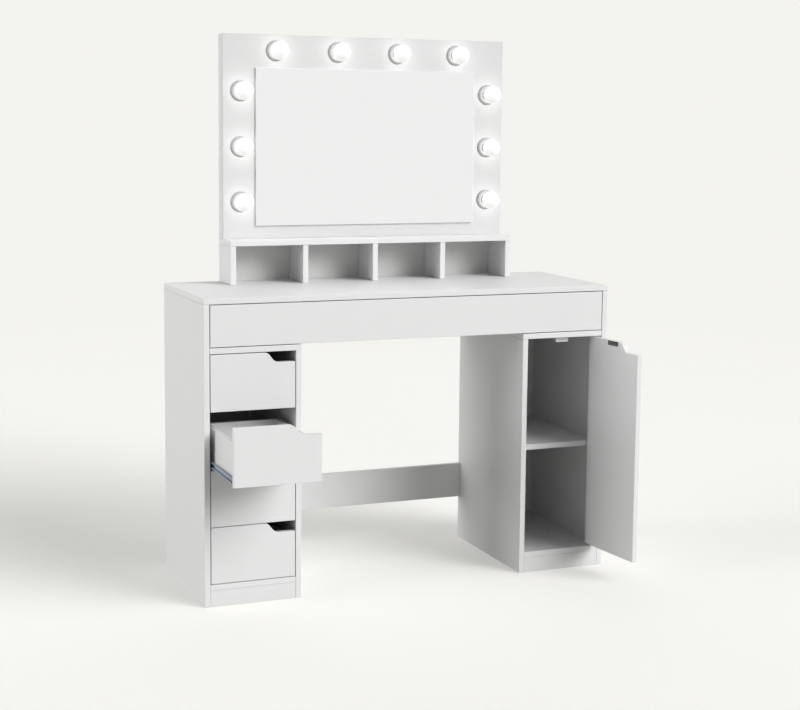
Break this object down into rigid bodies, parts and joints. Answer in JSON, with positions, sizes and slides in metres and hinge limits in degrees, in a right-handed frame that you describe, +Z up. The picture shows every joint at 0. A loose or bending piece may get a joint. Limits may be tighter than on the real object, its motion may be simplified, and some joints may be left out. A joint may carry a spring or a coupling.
{
  "type": "vanity table with mirror",
  "caption": "White vanity desk with drawers, a door cabinet, a low hutch and a lighted mirror framed by globe bulbs.",
  "frame": {"origin": "on the floor, at the middle of the base rectangle that the whole part covers with its second drawer out and its door open, as it is stored; it is midway between the outer sides", "axes": "+X to the right along the front, +Y from the front towards the wall, +Z up"},
  "size_m": [1.15, 0.625, 1.47],
  "materials": {
    "melamine_board": "white melamine-faced board, fine matt texture, white edge band",
    "melamine_front": "white melamine-faced board, fine matt texture, white edge band",
    "hardboard_back": "white-lacquered hardboard",
    "drawer_board": "white foil-wrapped board",
    "zinc_runner": "bluish-grey powder-coated steel",
    "zinc_pin": "zinc plated",
    "strike_steel": "dark polished steel",
    "white_plastic": "moulded, satin",
    "mirror": "silvered float glass, ground edge",
    "frosted_bulb": "frosted, lit",
    "black_plastic": "moulded"
  },
  "bodies": {
    "carcass": {"desk_top": "melamine_board", "side_left_outer": "melamine_board", "side_left_inner": "melamine_board", "side_right_inner": "melamine_board", "side_right_outer": "melamine_board", "divider_left": "melamine_board", "divider_right": "melamine_board", "bottom_left": "melamine_board", "bottom_right": "melamine_board", "plinth_left": "melamine_board", "plinth_right": "melamine_board", "rear_rail_upper": "melamine_board", "rear_rail_lower": "melamine_board", "cabinet_shelf": "melamine_board", "hutch_top": "melamine_board", "hutch_side_left": "melamine_board", "hutch_side_right": "melamine_board", "hutch_divider_1": "melamine_board", "hutch_divider_2": "melamine_board", "hutch_divider_3": "melamine_board", "mirror_front_panel": "melamine_board", "mirror_top_board": "melamine_board", "mirror_side_left": "melamine_board", "mirror_side_right": "melamine_board", "back_left": "hardboard_back", "back_right": "hardboard_back", "hutch_back": "hardboard_back", "mirror_back_cover": "hardboard_back", "carcass_runner_left": "zinc_runner", "carcass_runner_right": "zinc_runner", "magnetic_catch": "white_plastic", "mirror_glass": "mirror", "power_inlet": "black_plastic", "bulb_01": "frosted_bulb", "bulb_02": "frosted_bulb", "bulb_03": "frosted_bulb", "bulb_04": "frosted_bulb", "bulb_05": "frosted_bulb", "bulb_06": "frosted_bulb", "bulb_07": "frosted_bulb", "bulb_08": "frosted_bulb", "bulb_09": "frosted_bulb", "bulb_10": "frosted_bulb"},
    "long_drawer": {"long_drawer_front": "melamine_front", "long_drawer_box": "drawer_board"},
    "drawer_1": {"drawer_1_front": "melamine_front", "drawer_1_box": "drawer_board"},
    "drawer_2": {"drawer_2_front": "melamine_front", "drawer_2_box": "drawer_board", "drawer_2_runner_left": "zinc_runner", "drawer_2_runner_right": "zinc_runner"},
    "drawer_3": {"drawer_3_front": "melamine_front", "drawer_3_box": "drawer_board"},
    "drawer_4": {"drawer_4_front": "melamine_front", "drawer_4_box": "drawer_board"},
    "cabinet_door": {"door_panel": "melamine_front", "door_pivot_bottom": "zinc_pin", "door_pivot_top": "zinc_pin", "door_strike_plate": "strike_steel"}
  },
  "joints": [
    {"name": "long_drawer_slide", "type": "slide", "parent": "carcass", "child": "long_drawer", "axis": [0, -1, 0], "range_m": [0, 0.23]},
    {"name": "drawer_1_slide", "type": "slide", "parent": "carcass", "child": "drawer_1", "axis": [0, -1, 0], "range_m": [0, 0.23]},
    {"name": "drawer_2_slide", "type": "slide", "parent": "carcass", "child": "drawer_2", "axis": [0, -1, 0], "range_m": [-0.21, 0.02]},
    {"name": "drawer_3_slide", "type": "slide", "parent": "carcass", "child": "drawer_3", "axis": [0, -1, 0], "range_m": [0, 0.23]},
    {"name": "drawer_4_slide", "type": "slide", "parent": "carcass", "child": "drawer_4", "axis": [0, -1, 0], "range_m": [0, 0.23]},
    {"name": "cabinet_door_hinge", "type": "hinge", "parent": "carcass", "child": "cabinet_door", "pos_m": [0.5425, -0.095, 0.355], "axis": [0, 0, 1], "range_deg": [-95.9, 24.1]}
  ]
}
